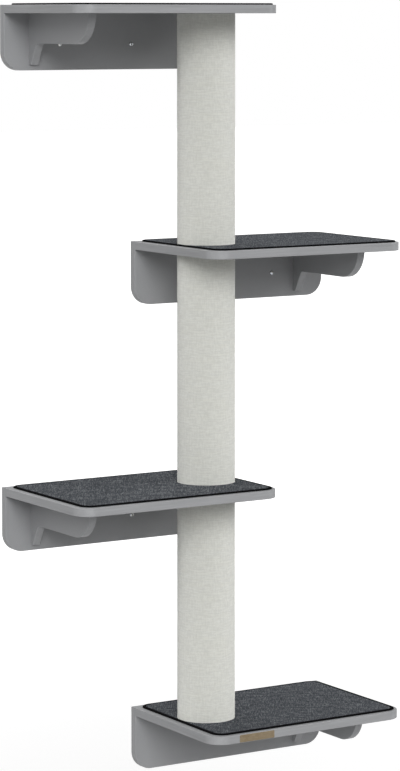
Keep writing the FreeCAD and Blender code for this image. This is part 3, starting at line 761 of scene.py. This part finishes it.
def wall_screw(name, spot, turn, screw, material):
    """Domed screw with a cross recess, its shank level with the wall behind the plate."""
    mesh = bmesh.new()
    head, rise, shank = screw.head / 2, screw.rise, screw.shank / 2
    recess_depth = rise * 1.4
    outline = []
    for i in range(7):
        angle = i * math.pi / 12
        outline.append((head * math.sin(angle), -rise * (0.25 + 0.75 * math.cos(angle))))
    outline += [(head, 0), (shank, 0), (shank, -spot.y), (0, -spot.y)]
    rim = [mesh.verts.new((x, y, 0)) for x, y in outline]
    for near, far in zip(rim, rim[1:]):
        mesh.edges.new((near, far))
    bmesh.ops.spin(
        mesh, geom=mesh.verts[:] + mesh.edges[:], cent=(0, 0, 0), axis=(0, 1, 0), dvec=(0, 0, 0),
        angle=2 * math.pi, steps=24, use_merge=True,
    )
    bmesh.ops.remove_doubles(mesh, verts=mesh.verts, dist=SAME_PLACE)
    bmesh.ops.recalc_face_normals(mesh, faces=mesh.faces)
    for arm in ((screw.slot_length, screw.slot_width), (screw.slot_width, screw.slot_length)):
        cutter = bmesh.new()
        bmesh.ops.create_cube(cutter, size=1.0)
        bmesh.ops.scale(cutter, vec=(arm[0], recess_depth, arm[1]), verts=cutter.verts)
        bmesh.ops.translate(cutter, vec=(0, -rise, 0), verts=cutter.verts)
        mesh = take_out(mesh, cutter)
    bmesh.ops.rotate(mesh, verts=mesh.verts, matrix=Matrix.Rotation(turn, 3, "Y"))
    bmesh.ops.translate(mesh, vec=spot, verts=mesh.verts)
    return place_piece(mesh, name, material, [], math.radians(35))


def edge_badge(material):
    """Bare plate with rounded corners and a fine bevel on its front."""
    low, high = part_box("edge_plate")
    corner, bevel = 0.002, 0.0003
    mesh = block(low, high)
    round_over(mesh, edges_along(mesh, 1), corner, 8)
    front = [e for e in mesh.edges if all(abs(v.co.y - low.y) < SAME_PLACE for v in e.verts)]
    round_over(mesh, front, bevel, 3)
    return place_piece(mesh, "edge_badge", material, ["edge_plate"], math.radians(35))


class TREE_OT_boards(bpy.types.Operator):
    """Paints the shelves, wall plates and side brackets"""

    bl_idname = "cat_tree.paint_boards"
    bl_label = "Paint the boards"

    def execute(self, context):
        finish = context.scene.cat_tree_boards
        dress([f"shelf_board_{k}" for k in SHELVES], painted_board("shelf_paint", 2, finish))
        dress([f"wall_plate_{k}" for k in SHELVES], painted_board("plate_paint", 1, finish))
        dress([f"bracket_{k}" for k in SHELVES], painted_board("bracket_paint", 0, finish))
        return {"FINISHED"}


class TREE_OT_mats(bpy.types.Operator):
    """Lays a felt mat with its bound edge on each shelf"""

    bl_idname = "cat_tree.lay_mats"
    bl_label = "Lay the mats"

    def execute(self, context):
        scene = context.scene
        felt = felt_cloth("mat_felt_cloth", scene.cat_tree_felt)
        yarn = binding_yarn("mat_binding_yarn", scene.cat_tree_binding)
        for shelf in SHELVES:
            edge = bound_edge(shelf, scene.cat_tree_binding, yarn)
            mat, flat, area = felt_mat(shelf, scene.cat_tree_felt, felt)
        return {"FINISHED"}


class TREE_OT_posts(bpy.types.Operator):
    """Covers the three posts with woven sisal"""

    bl_idname = "cat_tree.cover_posts"
    bl_label = "Cover the posts"

    def execute(self, context):
        weave = context.scene.cat_tree_weave
        low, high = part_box("sisal_sleeve_1")
        material = sisal_cloth("sisal_cloth", weave, high.z - low.z)
        for post in POSTS:
            piece, flat = sisal_post(post, weave, material)
        return {"FINISHED"}


class TREE_OT_metal(bpy.types.Operator):
    """Finishes the fasteners and the bare edge plate"""

    bl_idname = "cat_tree.finish_metal"
    bl_label = "Finish the metal"

    def execute(self, context):
        finish = context.scene.cat_tree_metal
        dress(
            ["threaded_inserts", "joining_studs", "top_bolt", "bottom_bolt", "bottom_washer",
             "shelf_screws", "bracket_back_screws", "bracket_top_screws"],
            zinc_plating("zinc_plating", finish),
        )
        edge_badge(brushed_bronze("brushed_bronze", finish))
        return {"FINISHED"}


class TREE_OT_wall_screws(bpy.types.Operator):
    """Drives two wall screws through each wall plate"""

    bl_idname = "cat_tree.drive_wall_screws"
    bl_label = "Drive the wall screws"

    def execute(self, context):
        screw = context.scene.cat_tree_wall_screws
        zinc = zinc_plating("wall_screw_zinc", context.scene.cat_tree_metal)
        for k in SHELVES:
            side = 1 if k % 2 else -1
            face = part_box(f"wall_plate_{k}")[0].y
            for i, (x, end) in enumerate(zip(WALL_HOLES, ("in", "out"))):
                spot = Vector((side * x, face, (k - 1) * SHELF_PITCH))
                wall_screw(f"wall_screw_{k}_{end}", spot, 0.65 * k + 1.1 * i, screw, zinc)
        return {"FINISHED"}


class TREE_OT_insides(bpy.types.Operator):
    """Finishes the tubes, discs and dowels inside the tree"""

    bl_idname = "cat_tree.finish_insides"
    bl_label = "Finish the insides"

    def execute(self, context):
        stock = context.scene.cat_tree_stock
        discs = [f"post_{end}_disc_{k}" for k in POSTS for end in ("bottom", "top")]
        dress([*discs, "shelf_dowels"], plain_wood("plain_wood_stock", stock))
        dress([f"post_tube_{k}" for k in POSTS], wound_board("wound_tube_board", stock))
        return {"FINISHED"}


class TREE_OT_studio(bpy.types.Operator):
    """Sets up the camera, the floor and the light"""

    bl_idname = "cat_tree.set_studio"
    bl_label = "Set up the studio"

    def execute(self, context):
        scene, setup = context.scene, context.scene.cat_tree_studio
        scene.view_settings.view_transform = "Standard"
        lens = bpy.data.cameras.new("studio_camera")
        lens.lens, lens.sensor_width, lens.shift_y = setup.lens, 36, setup.shift
        lens.clip_start, lens.clip_end = 0.1, 100
        camera = bpy.data.objects.new("studio_camera", lens)
        camera.location = setup.place
        camera.rotation_euler = (math.pi / 2 + setup.pitch, 0, -setup.yaw)
        scene.collection.objects.link(camera)
        scene.camera = camera

        world = bpy.data.worlds.new("studio_light")
        world.use_nodes = True
        tree = world.node_tree
        tree.nodes.clear()
        up = build(tree, "ShaderNodeTexCoord").outputs["Generated"]
        up = build(tree, "ShaderNodeSeparateXYZ", {0: up}).outputs[2]
        light = ramp(tree, up, -0.3, 0.0, setup.ground, setup.sky)
        mix = {0: seen_directly(tree), 2: light, 3: 1.0}
        strength = build(tree, "ShaderNodeMix", mix, data_type="FLOAT").outputs[0]
        shown = build(tree, "ShaderNodeBackground", {"Color": (1, 1, 1), "Strength": strength})
        build(tree, "ShaderNodeOutputWorld", {"Surface": shown.outputs[0]})
        scene.world = world

        floor_half, lamp_distance = 40, 5
        mesh = bmesh.new()
        bmesh.ops.create_grid(mesh, x_segments=1, y_segments=1, size=floor_half)
        bmesh.ops.translate(mesh, vec=(0, 0, -setup.floor_drop), verts=mesh.verts)
        data = bpy.data.meshes.new("studio_floor")
        mesh.to_mesh(data)
        mesh.free()
        floor = bpy.data.objects.new("studio_floor", data)
        scene.collection.objects.link(floor)
        data.materials.append(studio_floor("studio_floor"))

        for name, turn, rise, strength in (
            ("main_lamp", -25, 25, setup.key),
            ("left_lamp", -80, 25, setup.left),
            ("right_lamp", 50, 35, setup.right),
            ("back_lamp", 190, 30, setup.back),
        ):
            turn, rise = math.radians(turn), math.radians(rise)
            level = math.cos(rise)
            way = Vector((math.sin(turn) * level, -math.cos(turn) * level, math.sin(rise)))
            lamp = bpy.data.lights.new(name, "SUN")
            lamp.energy, lamp.angle = strength, setup.softness
            holder = bpy.data.objects.new(name, lamp)
            holder.location = way * lamp_distance
            holder.rotation_euler = way.to_track_quat("Z", "Y").to_euler()
            scene.collection.objects.link(holder)
        return {"FINISHED"}


def seen_directly(tree):
    """1 for rays from the camera, in reflections and through clear parts, else 0."""
    rays = build(tree, "ShaderNodeLightPath").outputs
    seen = calc(tree, "MAXIMUM", rays["Is Camera Ray"], rays["Is Glossy Ray"])
    return calc(tree, "MAXIMUM", seen, rays["Is Transmission Ray"])


def studio_floor(name):
    """Pale floor, white to the camera except where the tree shades it, and clear from below."""
    made = bpy.data.materials.new(name)
    made.use_nodes = True
    tree = made.node_tree
    tree.nodes.clear()
    matt = build(tree, "ShaderNodeBsdfDiffuse", {"Color": (0.5, 0.5, 0.5)})
    place = build(tree, "ShaderNodeTexCoord").outputs["Object"]
    away = build(tree, "ShaderNodeVectorMath", {0: place}, operation="LENGTH").outputs["Value"]
    near, far, near_glow = 1.5, 5.0, 0.65
    shown = ramp(tree, away, near, far, near_glow, 1.0)
    strength = calc(tree, "MULTIPLY", seen_directly(tree), shown)
    glow = build(tree, "ShaderNodeEmission", {"Color": (1, 1, 1), "Strength": strength})
    lit = build(tree, "ShaderNodeAddShader", {0: matt.outputs[0], 1: glow.outputs[0]})
    clear = build(tree, "ShaderNodeBsdfTransparent")
    back = build(tree, "ShaderNodeNewGeometry").outputs["Backfacing"]
    both = build(tree, "ShaderNodeMixShader", {0: back, 1: lit.outputs[0], 2: clear.outputs[0]})
    build(tree, "ShaderNodeOutputMaterial", {"Surface": both.outputs[0]})
    return made


class TREE_PT_sidebar(bpy.types.Panel):
    """Lists the steps that dress the cat tree"""

    bl_idname = "TREE_PT_sidebar"
    bl_label = "Wall mounted cat tree"
    bl_space_type = "VIEW_3D"
    bl_region_type = "UI"
    bl_category = "Cat tree"

    def draw(self, context):
        for holder, (group, step) in GROUPS.items():
            box = self.layout.box()
            box.operator(step.bl_idname)
            values = getattr(context.scene, holder)
            for name in group.__annotations__:
                box.prop(values, name)


GROUPS = {
    "cat_tree_boards": (BoardFinish, TREE_OT_boards),
    "cat_tree_felt": (MatFelt, TREE_OT_mats),
    "cat_tree_binding": (MatBinding, TREE_OT_mats),
    "cat_tree_weave": (PostWeave, TREE_OT_posts),
    "cat_tree_metal": (MetalFinish, TREE_OT_metal),
    "cat_tree_wall_screws": (WallScrew, TREE_OT_wall_screws),
    "cat_tree_stock": (HiddenStock, TREE_OT_insides),
    "cat_tree_studio": (StudioSetup, TREE_OT_studio),
}
STEPS = (
    TREE_OT_boards, TREE_OT_mats, TREE_OT_posts, TREE_OT_metal, TREE_OT_wall_screws, TREE_OT_insides,
    TREE_OT_studio,
)


def register():
    """Adds the values, the steps and the sidebar."""
    for holder, (group, _) in GROUPS.items():
        bpy.utils.register_class(group)
        setattr(bpy.types.Scene, holder, PointerProperty(type=group))
    for step in (*STEPS, TREE_PT_sidebar):
        bpy.utils.register_class(step)


def unregister():
    """Takes the sidebar, the steps and the values away again."""
    for step in reversed((*STEPS, TREE_PT_sidebar)):
        bpy.utils.unregister_class(step)
    for holder, (group, _) in GROUPS.items():
        delattr(bpy.types.Scene, holder)
        bpy.utils.unregister_class(group)


def main():
    """Dresses the tree, one step after another."""
    register()
    bpy.ops.cat_tree.paint_boards()
    bpy.ops.cat_tree.lay_mats()
    bpy.ops.cat_tree.cover_posts()
    bpy.ops.cat_tree.finish_metal()
    bpy.ops.cat_tree.drive_wall_screws()
    bpy.ops.cat_tree.finish_insides()
    bpy.ops.cat_tree.set_studio()


if __name__ == "__main__":
    main()
